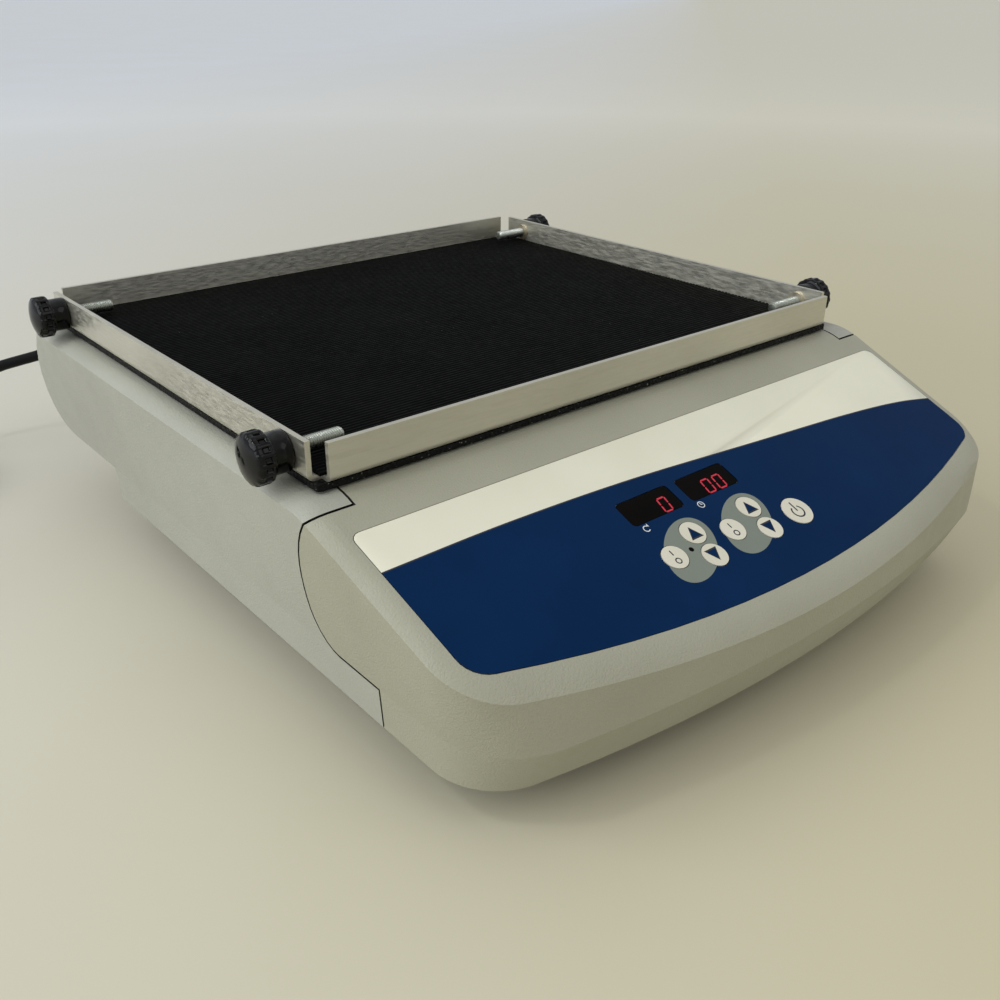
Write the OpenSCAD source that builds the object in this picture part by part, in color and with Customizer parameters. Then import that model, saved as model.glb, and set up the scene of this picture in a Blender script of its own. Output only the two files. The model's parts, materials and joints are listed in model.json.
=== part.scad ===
// Orbital shaker: a moulded housing with a sloping console, a triple eccentric drive inside it,
// and a folded aluminium tray that circles on top without turning.
// X runs to the right, Y to the back and Z up. The origin is on the bench, under the tray's centre in X
// and midway between the console's front and the housing's rear face in Y.

/* [Body] */
// Width of the housing across its shoulders
body_w = 359.4; // [340:0.2:400]
// Length of the housing from the front band to the fullest part of the rear
body_l = 435; // [415:0.5:455]
// Height of the flat top above the bench
top_z = 107.6; // [100:0.2:120]
// Height of the crease where the skirt begins
crease_z = 40.2; // [36:0.2:46]
// Height of the skirt's lower edge above the bench
skirt_z = 21; // [18:0.2:26]
// Wall of the mouldings
wall = 3; // [2:0.25:4]
// How far each side leans in from the shoulder to the crease
side_lean = 9.8; // [4:0.1:12]
// How far the front leans back from the shoulder to the crease
front_lean = 2.1; // [0:0.1:4]
// How far the skirt steps in at the front
skirt_in = 7.6; // [4:0.1:10]
// Sagitta of the bowed front at the crease
bow_low = 19.9; // [12:0.2:26]
// Sagitta of the bowed front at the shoulder
bow_top = 27; // [18:0.2:30]
// Radius of the front corners in plan at the crease
front_r_low = 36.5; // [28:0.5:44]
// Radius of the front corners in plan at the shoulder
front_r_top = 27; // [20:0.5:34]
// Radius of the rear corners in plan
rear_r = 4; // [2:0.5:12]
// Radius of the crown all round the top
shoulder_r = 11; // [8:0.5:14]
// Length of the overhang behind the skirt at the rear
rear_over = 88.5; // [80:0.5:95]
// How far the rear leans forward from its fullest part to the top
rear_bulge = 26; // [16:1:30]
// Gap of the seam between the two mouldings
seam_gap = 1; // [0.4:0.1:1.4]
// Distance of the console's side seam from the front
seam_back = 129.5; // [126:0.5:134]

/* [Console] */
// Distance of the bend at the top of the console from the front
bend_back = 119.6; // [112:0.2:126]
// Slope of the console
slope = 22; // [18:0.1:24]
// Half length of the soft bend between the flat top and the slope
bend_soft = 7; // [4:1:10]
// Half width of the printed keypad overlay
label_hw = 169.6; // [160:0.2:170]
// Distance of the overlay's upper edge down the slope
label_v0 = 20.4; // [16:0.2:24]
// Distance of the overlay's lower edge down the slope at the centre
label_v1 = 117.2; // [110:0.2:118]
// Sagitta of the overlay's lower edge
label_bow = 24.6; // [18:0.2:28]
// How far each side of the overlay leans in towards the front
label_lean = 4.6; // [3:0.2:7]
// Radius of the overlay's lower corners
label_r = 12; // [6:1:16]
// Thickness of the overlay
label_t = 0.8; // [0.5:0.1:1.2]
// Width of a display window
window_w = 31; // [26:0.2:33]
// Height of a display window
window_h = 13.2; // [10:0.2:14]
// Distance of the windows' upper edges down the slope
window_v = 51.8; // [48:0.1:54]
// Diameter of the six setting keys
key_d = 11.8; // [10:0.1:12.4]
// Diameter of the power key
power_d = 15; // [13:0.1:17]
// Diameter of the indicator lamp's hole
lamp_d = 2.4; // [2:0.1:4]
// Travel of a key
key_travel = 0.5; // [0.3:0.1:0.8]
// Clearance round a key
key_clear = 0.3; // [0.2:0.05:0.5]

/* [Tray] */
// Width of the tray along X
tray_w = 330.2; // [320:0.2:340]
// Depth of the tray along Y
tray_d = 279.4; // [270:0.2:290]
// Height of the folded rails
rail_h = 16.8; // [14:0.1:22]
// Thickness of the tray's sheet
sheet_t = 2.3; // [1.5:0.1:3.2]
// Open relief at each corner of the tray
relief = 6.3; // [4:0.1:9]
// Distance of the tray's centre behind the middle of the body
tray_y = 42.6; // [38:0.2:46]
// Thickness of the platform plate
plate_t = 2.8; // [2:0.1:4]
// Gap between the housing and the platform plate
plate_gap = 1; // [0.8:0.1:3]
// Thickness of the rubber mat below its ribs
mat_t = 1.2; // [0.8:0.1:2]
// Pitch of the mat's ribs
rib_pitch = 2.5; // [2:0.1:4]

/* [Clamp knobs] */
// Diameter of a knob's fluted head
knob_d = 21.5; // [20:0.5:24]
// Diameter of a knob's hub
hub_d = 17; // [13:0.5:17]
// Length of a knob's hub
hub_l = 8; // [6:0.5:10]
// Length of a knob's head
head_l = 10; // [9:0.5:14]
// Number of flutes round a knob
flutes = 16; // [12:1:18]
// Diameter of the studs
stud_d = 6.35; // [5:0.05:8]
// Length of stud that stands inside the tray
stud_out = 23; // [18:1:30]
// Distance of the studs from the tray's centre along Y
stud_y = 118; // [110:1:122]
// Distance of the studs below the rail's top
stud_drop = 8.2; // [7:0.1:8.6]

/* [Drive] */
// Radius of the orbit
orbit_r = 9.525; // [8:0.125:12]
// How far the tray stands to the left of the body's middle at rest
rest_shift = 5; // [3:0.5:7]
// Distance of the drive axis behind the orbit's centre
drive_dy = 50; // [44:1:56]
// Half distance between the two idler axes
idler_dx = 95; // [85:1:105]
// Distance of the idler axes in front of the orbit's centre
idler_dy = 55; // [45:1:60]
// Diameter of the shaft journals
journal_d = 12; // [10:1:14]
// Diameter of the eccentric pins
pin_d = 10; // [8:1:11]
// Diameter of the driven pulley
driven_d = 96; // [84:2:104]
// Diameter of the motor pulley
motor_pulley_d = 24; // [20:1:28]
// Distance between the motor axis and the drive axis
belt_centres = 84; // [80:1:90]
// Height of the pulleys
pulley_h = 12; // [10:1:14]
// Running clearance round shafts and pins
run_clear = 0.05; // [0.03:0.01:0.08]

/* [Base] */
// Thickness of the base pan's floor
pan_t = 2.5; // [1.5:0.5:3]
// Clearance between the pan and the skirt
pan_clear = 0.4; // [0.3:0.1:1]
// Thickness of the drive's base plate
base_plate_t = 5; // [4:1:6]
// Diameter of a foot
foot_d = 28; // [22:1:34]
// Distance of the feet from the skirt's sides
foot_in = 36.7; // [30:0.1:45]

/* [Mains lead] */
// Diameter of the lead
lead_d = 7; // [6:0.5:8]
// Distance of the inlet from the middle of the body
inlet_dx = 112; // [100:1:125]
// Depth of the recess round the inlet
pocket_deep = 14; // [12:1:18]
// Height of the inlet's axis
inlet_z = 68; // [66:1:72]

/* [Hidden] */
$fn = 48;
eps = 0.01;

// Places of the body and the orbit
body_x = rest_shift;
front_y = -body_l / 2;
rear_y = body_l / 2;
kink_y = front_y + bend_back;
crank_a = 180 - acos(rest_shift / orbit_r);
pin_dx = orbit_r * cos(crank_a);
pin_dy = orbit_r * sin(crank_a);
orbit_y = tray_y - pin_dy;
drive_at = [body_x, orbit_y + drive_dy];
left_idler_at = [body_x - idler_dx, orbit_y - idler_dy];
right_idler_at = [body_x + idler_dx, orbit_y - idler_dy];
motor_at = drive_at + [-belt_centres, 0];
post_at = [drive_at, left_idler_at, right_idler_at];

// Half widths of the outline at the shoulder, the crease and the skirt's lower edge
hw_top = body_w / 2;
hw_crease = hw_top - side_lean;
hw_skirt = hw_crease - 1.2;
skirt_rear_y = rear_y - rear_over;
rear_waist = 0.32;
rear_tuck = 25.5;
rear_boss_x = hw_skirt - 20.7;
front_boss_x = hw_skirt - 40.7;
foot_x = hw_skirt - foot_in;

// Heights inside
pan_z = skirt_z + 1;
floor_z = pan_z + pan_t;
base_z = floor_z + base_plate_t;
block_h = 34;
block_top = base_z + block_h;
pulley_z = block_top + 1.5;
disc_z = pulley_z + pulley_h + 2;
disc_h = 9;
boss_z = disc_z + disc_h + 3;
plate_z = top_z + plate_gap;
tray_z = plate_z + plate_t;
rail_z = tray_z + rail_h;
mat_z = tray_z + sheet_t;

// Bearings
bearing_w = 8;
block_bearing_d = 28;
pin_bearing_d = 26;
boss_d = 34;
post_hole_d = 2 * (orbit_r + 1.5) + boss_d;

// Number of steps round the corners and along the bow
rear_steps = 4;
front_steps = 10;
bow_steps = 10;

// Height of the outer roof at a distance along Y
function roof(y) = y > kink_y + bend_soft ? top_z
    : y < kink_y - bend_soft ? top_z - (kink_y - y) * tan(slope)
    : top_z - tan(slope) * pow(kink_y + bend_soft - y, 2) / (4 * bend_soft);

function mix(a, b, t) = a + (b - a) * t;

// Left half of a plan outline, from the rear edge round to the front
function half_ring(hw, yf, yb, rf, rr, bow) =
    let (rb = (hw * hw + bow * bow) / (2 * bow), cy = yf + rb, fx = rf - hw,
        fy = cy - sqrt(pow(rb - rf, 2) - fx * fx), at = atan2(fy - cy, fx))
    concat(
        [for (i = [0:rear_steps]) let (a = 90 + 90 * i / rear_steps)
            [rr - hw + rr * cos(a), yb - rr + rr * sin(a)]],
        [for (i = [0:4]) [-hw, kink_y + bend_soft * (1 - i / 2)]],
        [for (i = [0:front_steps]) let (a = 180 + (at + 180) * i / front_steps)
            [fx + rf * cos(a), fy + rf * sin(a)]],
        [for (i = [1:bow_steps]) let (a = at - (at + 90) * i / (bow_steps + 0.5))
            [rb * cos(a), cy + rb * sin(a)]]);

// Whole outline, the right half mirrored, about the middle of the body
function ring(hw, yf, yb, rf, rr, bow) =
    let (h = half_ring(hw, yf, yb, rf, rr, bow), n = len(h))
    concat([for (p = h) [body_x + p.x, p.y]], [for (i = [n - 1:-1:0]) [body_x - h[i].x, h[i].y]]);

// Rear edge of the wall, from its tucked-in foot at 0 through the fullest part to the top at 1
function rear_at(s) = s < rear_waist
    ? rear_y - rear_tuck * (1 - sqrt(1 - pow(1 - s / rear_waist, 2)))
    : rear_y - rear_bulge * pow((s - rear_waist) / (1 - rear_waist), 2);

// The top is crowned: its arc starts at this angle, where it meets the side in an edge
edge_a = 40;
function crown(off) = max(shoulder_r - off, 2);
wall_h = top_z - crease_z - crown(0) * (1 - sin(edge_a));

// Place across the body of a point of the wall, so that each side stays one leaning plane
function across(p, s) =
    body_x + (p.x - body_x) * (1 - side_lean * s * (top_z - roof(p.y)) / (wall_h * hw_top));

// One ring of the wall at s, set in by off
function wall_ring(s, off) =
    let (hw = hw_crease + (hw_top - hw_crease) * s - off, yf = front_y + front_lean * (1 - s) + off)
    [for (p = ring(hw, yf, rear_at(s) - off, mix(front_r_low, front_r_top, s) - off, max(rear_r - off, 0.6),
        mix(bow_low, bow_top, s)))
        [across(p, s), p.y,
            crease_z + off + s * (roof(p.y) - 2 * off - crown(off) * (1 - sin(edge_a)) - crease_z)]];

// One ring of the crown at angle a, set in by off
function crown_ring(a, off) =
    let (r = crown(off), d = off + r * (cos(edge_a) - cos(a)))
    [for (p = ring(hw_top - d, front_y + d, rear_at(1) - d, front_r_top - d, max(rear_r - d, 0.6), bow_top))
        [across(p, 1), p.y, roof(p.y) - off - r + r * sin(a)]];

// One ring of the skirt at height z, straight up above the crease
function skirt_ring(z, off) =
    let (t = max(0, (crease_z - z) / (crease_z - skirt_z)),
        hw = hw_crease - (hw_crease - hw_skirt) * t - off)
    [for (p = ring(hw, front_y + front_lean + skirt_in * t + off, skirt_rear_y - off,
        front_r_low - 6 * t - off, max(rear_r - off, 0.6), bow_low))
        [p.x, p.y, z]];

// Closed solid through a stack of rings, its ends closed by strips from left to right
module loft(rings) {
    n = len(rings[0]);
    m = len(rings);
    h = n / 2;
    pts = [for (r = rings) for (p = r) p];
    sides = [for (k = [0:m - 2]) for (j = [0:n - 1]) let (a = k * n + j, b = k * n + (j + 1) % n)
        each [[a, a + n, b], [b, a + n, b + n]]];
    low = [for (i = [0:h - 2]) let (l = i, r = n - 1 - i) each [[l, l + 1, r], [l + 1, r - 1, r]]];
    high = [for (i = [0:h - 2]) let (l = (m - 1) * n + i, r = m * n - 1 - i)
        each [[l, r, l + 1], [l + 1, r, r - 1]]];
    polyhedron(pts, concat(sides, low, high));
}

wall_steps = [0, 0.03, 0.09, 0.18, 0.32, 0.5, 0.66, 0.83, 1];
cavity_steps = [0, 0.08, 0.32, 0.66, 1];

module housing_solid() {
    loft(concat([for (s = wall_steps) wall_ring(s, 0)], [for (a = [55, 72, 90]) crown_ring(a, 0)]));
    loft([skirt_ring(skirt_z, 0), skirt_ring(crease_z, 0), skirt_ring(crease_z + wall - 0.5, wall - 0.5)]);
}

module housing_cavity() {
    loft(concat([for (s = cavity_steps) wall_ring(s, wall)], [for (a = [62, 90]) crown_ring(a, wall)]));
    loft([skirt_ring(skirt_z, wall), skirt_ring(crease_z, wall),
        skirt_ring(crease_z + wall + 1.5, wall + 2)]);
    translate([0, 0, skirt_z - 1]) linear_extrude(1 + eps)
        polygon([for (p = skirt_ring(skirt_z, wall)) [p.x, p.y]]);
}

// Side view of the console moulding, grown by g where it meets the rear housing
seam_y = front_y + seam_back;
seam_top_r = 53;
seam_low_ry = 16;
seam_low_rz = 21;
slit_y = seam_y - 44.5;
tongue_hw = hw_top - 21;
tongue_y = seam_y + 24;
function console_side(g) =
    let (rt = seam_top_r + g, zt = crease_z + seam_low_rz + 4, yt = seam_y - seam_top_r)
    concat(
        [[slit_y + g, 0], [slit_y + g, crease_z - g]],
        [for (i = [0:6]) let (a = -90 + 15 * i)
            [seam_y - seam_low_ry + (seam_low_ry + g) * cos(a),
                crease_z + seam_low_rz + (seam_low_rz + g) * sin(a)]],
        [for (i = [0:8]) let (a = 7 * i) [yt + rt * cos(a), zt + rt * sin(a)]],
        [[yt + rt * cos(56), top_z + 20], [front_y - 30, top_z + 20], [front_y - 30, 0]]);

module console_region(g) {
    translate([body_x - body_w / 2 - 20, 0, 0]) rotate([90, 0, 90])
        linear_extrude(body_w + 40) polygon(console_side(g));
    translate([body_x - tongue_hw - g, seam_y - 30, top_z - 12])
        cube([2 * (tongue_hw + g), tongue_y - seam_y + 30 + g, 30]);
}

// Frame of the sloping panel: x to the right, y up the slope, z out of it
module on_panel() {
    translate([body_x, kink_y, top_z]) rotate([slope, 0, 0]) children();
}

// Outline of the overlay in the panel's frame, set in by d
function label_half(d) =
    let (hw = label_hw - label_lean / 2 - d, rb = (hw * hw + label_bow * label_bow) / (2 * label_bow),
        cy = rb - label_v1 + d, rf = label_r - d, fx = rf - hw, fy = cy - sqrt(pow(rb - rf, 2) - fx * fx),
        at = atan2(fy - cy, fx))
    concat(
        [for (i = [0:4]) let (a = 90 + 22.5 * i) [4 - hw + 4 * cos(a), -label_v0 - d - 4 + 4 * sin(a)]],
        [for (i = [0:6]) let (a = 180 + (at + 180) * i / 6) [fx + rf * cos(a), fy + rf * sin(a)]],
        [for (i = [1:8]) let (a = at - (at + 90) * i / 8.5) [rb * cos(a), cy + rb * sin(a)]]);
function label_outline(d) =
    let (h = label_half(d), n = len(h), k = label_lean / label_hw / (label_v1 - label_v0),
        mid = (label_v0 + label_v1) / 2, g = [for (p = h) [p.x * (1 + k * (mid + p.y)), p.y]])
    concat(g, [for (i = [n - 1:-1:0]) [-g[i].x, g[i].y]]);

// Centres of the windows and keys on the panel, across and down the slope
speed_u = -45.4;
time_u = -9.1;
window_mid_v = window_v + window_h / 2;
up_v = 78.3;
down_v = 91.5;
onoff_v = 84.8;
speed_key_u = -39;
time_key_u = -2.4;
onoff_du = 17.6;
power_at = [18.7, 90];
lamp_at = [-46.6, onoff_v];
key_at = [[speed_key_u, up_v], [speed_key_u, down_v], [speed_key_u - onoff_du, onoff_v],
    [time_key_u, up_v], [time_key_u, down_v], [time_key_u - onoff_du, onoff_v], power_at];
function key_dia(i) = i == 6 ? power_d : key_d;

// Depths below the panel
board_t = 1.6;
board_w0 = -14;
stem_d = 4;
switch_h = 5;

module round_box(w, d, h, r) {
    linear_extrude(h) polygon([for (c = [[1, 1, 0], [-1, 1, 90], [-1, -1, 180], [1, -1, 270]])
        for (i = [0:4]) let (a = c[2] + 22.5 * i)
            [c[0] * (w / 2 - r) + r * cos(a), c[1] * (d / 2 - r) + r * sin(a)]]);
}

module window_cut(u, grow) {
    translate([u, -window_mid_v, -wall - 2])
        round_box(window_w + 2 * grow, window_h + 2 * grow, wall + 4, 2.2);
}

module key_cuts(grow) {
    for (i = [0:6]) translate([key_at[i][0], -key_at[i][1], -wall - 2])
        cylinder(d = key_dia(i) + 2 * grow, h = wall + 4);
    translate([lamp_at[0], -lamp_at[1], -wall - 2]) cylinder(d = lamp_d, h = wall + 4, $fn = 24);
}

// Screw bosses of the mouldings, from the pan up into the roof
rear_boss_at = [for (sx = [-1, 1]) for (y = [skirt_rear_y - 24, front_y + 171.5])
    [body_x + sx * rear_boss_x, y]];
front_boss_at = [for (sx = [-1, 1]) [body_x + sx * front_boss_x, front_y + 36]];
boss_w = 9;

module screw_boss(at) {
    difference() {
        translate([at[0], at[1], floor_z]) cylinder(d = boss_w, h = roof(at[1]) - wall / 2 - floor_z);
        translate([at[0], at[1], floor_z - 1]) cylinder(d = 3.2, h = 13);
    }
}

inlet_x = body_x - inlet_dx;
pocket_y = rear_y - pocket_deep;
inlet_w = 28;
inlet_h = 20;

module rear_housing() {
    color([0.66, 0.67, 0.65]) difference() {
        union() {
            difference() {
                housing_solid();
                housing_cavity();
                console_region(seam_gap);
            }
            for (b = rear_boss_at) screw_boss(b);
            intersection() {
                housing_solid();
                translate([inlet_x - 22, pocket_y - wall, inlet_z - 18]) cube([44, 20, 36]);
            }
        }
        for (p = post_at) translate([p[0], p[1], top_z - 10]) cylinder(d = post_hole_d, h = 20);
        translate([inlet_x - 18, pocket_y, inlet_z - 14]) cube([36, 20, 28]);
        translate([inlet_x - inlet_w / 2, pocket_y - 10, inlet_z - inlet_h / 2]) cube([inlet_w, 20, inlet_h]);
    }
}

board_u = -17;
board_v = 78;
board_w = 130;
board_h = 60;
board_hole_at = [for (sx = [-1, 1]) for (sy = [-1, 1])
    [board_u + sx * (board_w / 2 - 5), -board_v + sy * (board_h / 2 - 5)]];

module front_console() {
    color([0.62, 0.61, 0.54]) difference() {
        union() {
            intersection() {
                difference() {
                    housing_solid();
                    housing_cavity();
                }
                console_region(0);
            }
            for (b = front_boss_at) screw_boss(b);
            on_panel() for (h = board_hole_at)
                translate([h[0], h[1], board_w0 + board_t]) cylinder(d = 6, h = -board_w0 - board_t - 1);
        }
        on_panel() {
            translate([0, 0, -label_t]) linear_extrude(5) polygon(label_outline(0));
            window_cut(speed_u, 0);
            window_cut(time_u, 0);
            key_cuts(key_clear);
            for (h = board_hole_at) translate([h[0], h[1], board_w0]) cylinder(d = 2.8, h = 9.5, $fn = 24);
        }
    }
}

module base_pan() {
    rim = skirt_ring(skirt_z + 1, wall + pan_clear);
    rim_in = skirt_ring(skirt_z + 1, wall + pan_clear + 2);
    color([0.55, 0.56, 0.57]) difference() {
        union() {
            translate([0, 0, pan_z]) linear_extrude(pan_t) polygon([for (p = rim) [p.x, p.y]]);
            translate([0, 0, pan_z]) linear_extrude(pan_t + 8) difference() {
                polygon([for (p = rim) [p.x, p.y]]);
                polygon([for (p = rim_in) [p.x, p.y]]);
            }
        }
        for (b = concat(rear_boss_at, front_boss_at)) translate([b[0], b[1], pan_z - 1])
            cylinder(d = 4, h = 6);
        for (f = foot_at) translate([f[0], f[1], pan_z - 1]) cylinder(d = 4.4, h = 6);
    }
}

foot_at = [[body_x - foot_x, front_y + 58], [body_x + foot_x, front_y + 58],
    [body_x - foot_x, skirt_rear_y - 48], [body_x + foot_x, skirt_rear_y - 48]];

module feet() {
    r = foot_d / 2;
    color([0.06, 0.06, 0.06]) for (f = foot_at) translate([f[0], f[1], 0]) rotate_extrude()
        polygon([[3.5, 0], [r - 3, 0], [r - 1.5, 1], [r - 1.2, 5], [r, pan_z - 2], [r, pan_z], [1.8, pan_z],
            [1.8, 9], [3.5, 9]]);
}

module pan_screw(at) {
    translate([at[0], at[1], pan_z - 1.9]) cylinder(d = 6.6, h = 1.9, $fn = 24);
    translate([at[0], at[1], pan_z - eps]) cylinder(d = 3, h = 12, $fn = 24);
}

module pan_screws() {
    color([0.7, 0.7, 0.7]) {
        for (b = concat(rear_boss_at, front_boss_at)) pan_screw(b);
        for (f = foot_at) translate([f[0], f[1], 0]) {
            translate([0, 0, floor_z]) cylinder(d = 7.5, h = 2, $fn = 24);
            translate([0, 0, 10]) cylinder(d = 3.4, h = floor_z - 10 + eps, $fn = 24);
        }
    }
}

module keypad_overlay() {
    color([0.1, 0.2, 0.45]) on_panel() difference() {
        translate([0, 0, -label_t]) linear_extrude(label_t) polygon(label_outline(0.25));
        window_cut(speed_u, 0.15);
        window_cut(time_u, 0.15);
        key_cuts(key_clear);
    }
}

module display_window(u) {
    color([0.05, 0.03, 0.03]) on_panel() translate([u, -window_mid_v, -2.2])
        round_box(window_w - 0.2, window_h - 0.2, 2.1, 2.1);
}

module speed_window() {
    display_window(speed_u);
}

module time_window() {
    display_window(time_u);
}

module digit_displays() {
    color([0.12, 0.1, 0.1]) on_panel() for (u = [speed_u, time_u])
        translate([u - window_w / 2 + 1.5, -window_mid_v - 5.2, board_w0 + board_t])
            cube([window_w - 3, 10.4, -board_w0 - board_t - 2.5]);
}

module display_board() {
    color([0.1, 0.3, 0.15]) on_panel() difference() {
        translate([board_u - board_w / 2, -board_v - board_h / 2, board_w0])
            cube([board_w, board_h, board_t]);
        for (h = board_hole_at) translate([h[0], h[1], board_w0 - 1]) cylinder(d = 3, h = 5, $fn = 24);
    }
}

module board_screws() {
    color([0.7, 0.7, 0.7]) on_panel() for (h = board_hole_at)
        translate([h[0], h[1], board_w0 - 2]) {
            cylinder(d = 5.5, h = 2, $fn = 24);
            cylinder(d = 2.6, h = 8 + board_t, $fn = 24);
        }
}

module key_switches() {
    color([0.15, 0.15, 0.15]) on_panel() for (k = key_at)
        translate([k[0] - 3, -k[1] - 3, board_w0 + board_t]) {
            cube([6, 6, 3.5]);
            translate([3, 3, 0]) cylinder(d = 3.4, h = switch_h, $fn = 24);
        }
}

module indicator() {
    color([0.3, 0.3, 0.3]) on_panel() translate([lamp_at[0], -lamp_at[1], board_w0 + board_t]) {
        cylinder(d = 3.6, h = 6, $fn = 24);
        cylinder(d = lamp_d - 0.2, h = -board_w0 - board_t - 0.1, $fn = 24);
    }
}

module key(i) {
    proud = 0.25;
    foot_w = board_w0 + board_t + switch_h + key_travel + 0.2;
    color([0.92, 0.9, 0.85]) on_panel() translate([key_at[i][0], -key_at[i][1], 0]) {
        translate([0, 0, -2.2]) cylinder(d = key_dia(i), h = 2.2 + proud);
        translate([0, 0, foot_w]) cylinder(d = stem_d, h = -2.2 - foot_w + eps, $fn = 24);
    }
}

module key_speed_up() { key(0); }
module key_speed_down() { key(1); }
module key_speed_onoff() { key(2); }
module key_time_up() { key(3); }
module key_time_down() { key(4); }
module key_time_onoff() { key(5); }
module key_power() { key(6); }

// Steel plate on the pan that carries the three bearing blocks and the motor
plate_margin = 42;
block_foot_d = 64;
block_hole_r = 26;
motor_d = 62;
motor_h = 32;
module drive_base_plate() {
    x0 = min(left_idler_at[0], motor_at[0]) - plate_margin;
    x1 = right_idler_at[0] + plate_margin;
    y0 = left_idler_at[1] - plate_margin;
    y1 = min(drive_at[1] + plate_margin, skirt_rear_y - 8);
    color([0.45, 0.46, 0.48]) difference() {
        translate([(x0 + x1) / 2, (y0 + y1) / 2, floor_z]) round_box(x1 - x0, y1 - y0, base_plate_t, 10);
        for (p = post_at) block_holes(p, floor_z - 1, base_plate_t + 2, 4.2);
        for (p = post_at) translate([p[0], p[1], floor_z - 1]) cylinder(d = journal_d + 4, h = 10);
        for (f = foot_at) translate([f[0], f[1], floor_z - 1]) cylinder(d = 12, h = 10);
        translate([body_x, orbit_y - 15, floor_z - 1]) round_box(80, 60, 10, 12);
    }
}

module block_holes(p, z, h, d) {
    for (a = [45, 135, 225, 315]) translate([p[0] + block_hole_r * cos(a), p[1] + block_hole_r * sin(a), z])
        cylinder(d = d, h = h, $fn = 24);
}

module bearing_blocks() {
    ro = 22;
    rb = block_bearing_d / 2 + 0.05;
    rm = 11;
    color([0.6, 0.6, 0.62]) for (p = post_at) difference() {
        translate([p[0], p[1], base_z]) rotate_extrude($fn = 64)
            polygon([[rb, 0], [block_foot_d / 2, 0], [block_foot_d / 2, 6], [ro + 1, 6], [ro, 7],
                [ro, block_h], [rb, block_h], [rb, block_h - bearing_w - 1], [rm, block_h - bearing_w - 1],
                [rm, bearing_w + 1], [rb, bearing_w + 1]]);
        block_holes(p, base_z - 1, 10, 4.2);
    }
}

// Ball bearing with a step on each face between its races
module ball_bearing(d_in, d_out, w) {
    ri = d_in / 2;
    ro = d_out / 2;
    race = (ro - ri) * 0.28;
    rotate_extrude($fn = 64) polygon([[ri, 0], [ri + race, 0], [ri + race, 0.5], [ro - race, 0.5],
        [ro - race, 0], [ro, 0], [ro, w], [ro - race, w], [ro - race, w - 0.5], [ri + race, w - 0.5],
        [ri + race, w], [ri, w]]);
}

module block_bearings() {
    color([0.75, 0.76, 0.78]) for (p = post_at) for (z = [base_z + 1, block_top - bearing_w - 1])
        translate([p[0], p[1], z]) ball_bearing(journal_d, block_bearing_d, bearing_w);
}

module block_screws() {
    color([0.3, 0.3, 0.32]) for (p = post_at) {
        block_holes(p, base_z + 6, 3.5, 7);
        block_holes(p, floor_z + 0.5, base_plate_t + 6, 4);
    }
}

// Journal, crank disc and eccentric pin in one piece
module eccentric_shaft(at, disc_d) {
    rj = journal_d / 2 - run_clear;
    translate([at[0], at[1], 0]) {
        translate([0, 0, floor_z + 1]) cylinder(r = rj, h = disc_z + 1 - floor_z - 1);
        translate([0, 0, block_top + 0.2]) cylinder(r = rj + 2, h = pulley_z - block_top - 0.4);
        translate([0, 0, disc_z]) cylinder(d = disc_d, h = disc_h, $fn = 64);
        translate([pin_dx, pin_dy, disc_z]) {
            cylinder(d = pin_d + 4, h = disc_h + 2.5);
            cylinder(r = pin_d / 2 - run_clear, h = plate_z - 3 - disc_z);
        }
    }
}

module drive_shaft() {
    color([0.62, 0.63, 0.65]) eccentric_shaft(drive_at, 44);
}

module left_idler_shaft() {
    color([0.62, 0.63, 0.65]) eccentric_shaft(left_idler_at, 40);
}

module right_idler_shaft() {
    color([0.62, 0.63, 0.65]) eccentric_shaft(right_idler_at, 40);
}

// Rim of a ribbed belt pulley with flanges, as a profile
groove_n = 5;
function pulley_rim(r, h) = let (p = (h - 4) / groove_n) concat([[r + 2, 0], [r + 2, 1.5], [r, 2]],
    [for (i = [0:groove_n - 1]) each [[r - 1.6, 2 + p * (i + 0.5)], [r, 2 + p * (i + 1)]]],
    [[r + 2, h - 1.5], [r + 2, h]]);

module driven_pulley() {
    r = driven_d / 2;
    rj = journal_d / 2 + 0.02;
    color([0.3, 0.31, 0.33]) translate([drive_at[0], drive_at[1], pulley_z]) difference() {
        rotate_extrude($fn = 72) polygon(concat([[rj, 0]], pulley_rim(r, pulley_h),
            [[r - 6, pulley_h], [r - 7, 8], [18, 8], [16, pulley_h], [rj, pulley_h]]));
        for (i = [0:5]) translate([(r + 12) / 2 * cos(60 * i), (r + 12) / 2 * sin(60 * i), -1])
            cylinder(d = 15, h = 12, $fn = 36);
    }
}

// Weight opposite the pin, a sector on the crank disc
weight_r = 60;
weight_h = 12;
module counterweight() {
    color([0.35, 0.33, 0.3]) translate([drive_at[0], drive_at[1], disc_z]) rotate([0, 0, crank_a + 180])
        linear_extrude(weight_h) polygon(concat(
            [for (i = [0:12]) let (a = -60 + 10 * i) [weight_r * cos(a), weight_r * sin(a)]],
            [for (i = [0:12]) let (a = 60 - 10 * i) [22.2 * cos(a), 22.2 * sin(a)]]));
}

module motor_can() {
    r = motor_d / 2;
    color([0.2, 0.2, 0.22]) translate([motor_at[0], motor_at[1], base_z]) difference() {
        union() {
            rotate_extrude($fn = 64) polygon([[0, 0], [r, 0], [r, 3], [r - 2, 4], [r - 2, motor_h - 4],
                [r - 5, motor_h], [11, motor_h], [10, motor_h + 2], [0, motor_h + 2]]);
        }
        translate([0, 0, 4]) cylinder(d = motor_d - 10, h = motor_h - 8, $fn = 64);
        translate([0, 0, 2]) cylinder(r = 4 + run_clear, h = motor_h + 2);
        for (i = [0:3]) translate([(r - 3.5) * cos(90 * i + 45), (r - 3.5) * sin(90 * i + 45), -1])
            cylinder(d = 3.4, h = 3, $fn = 24);
    }
}

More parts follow.
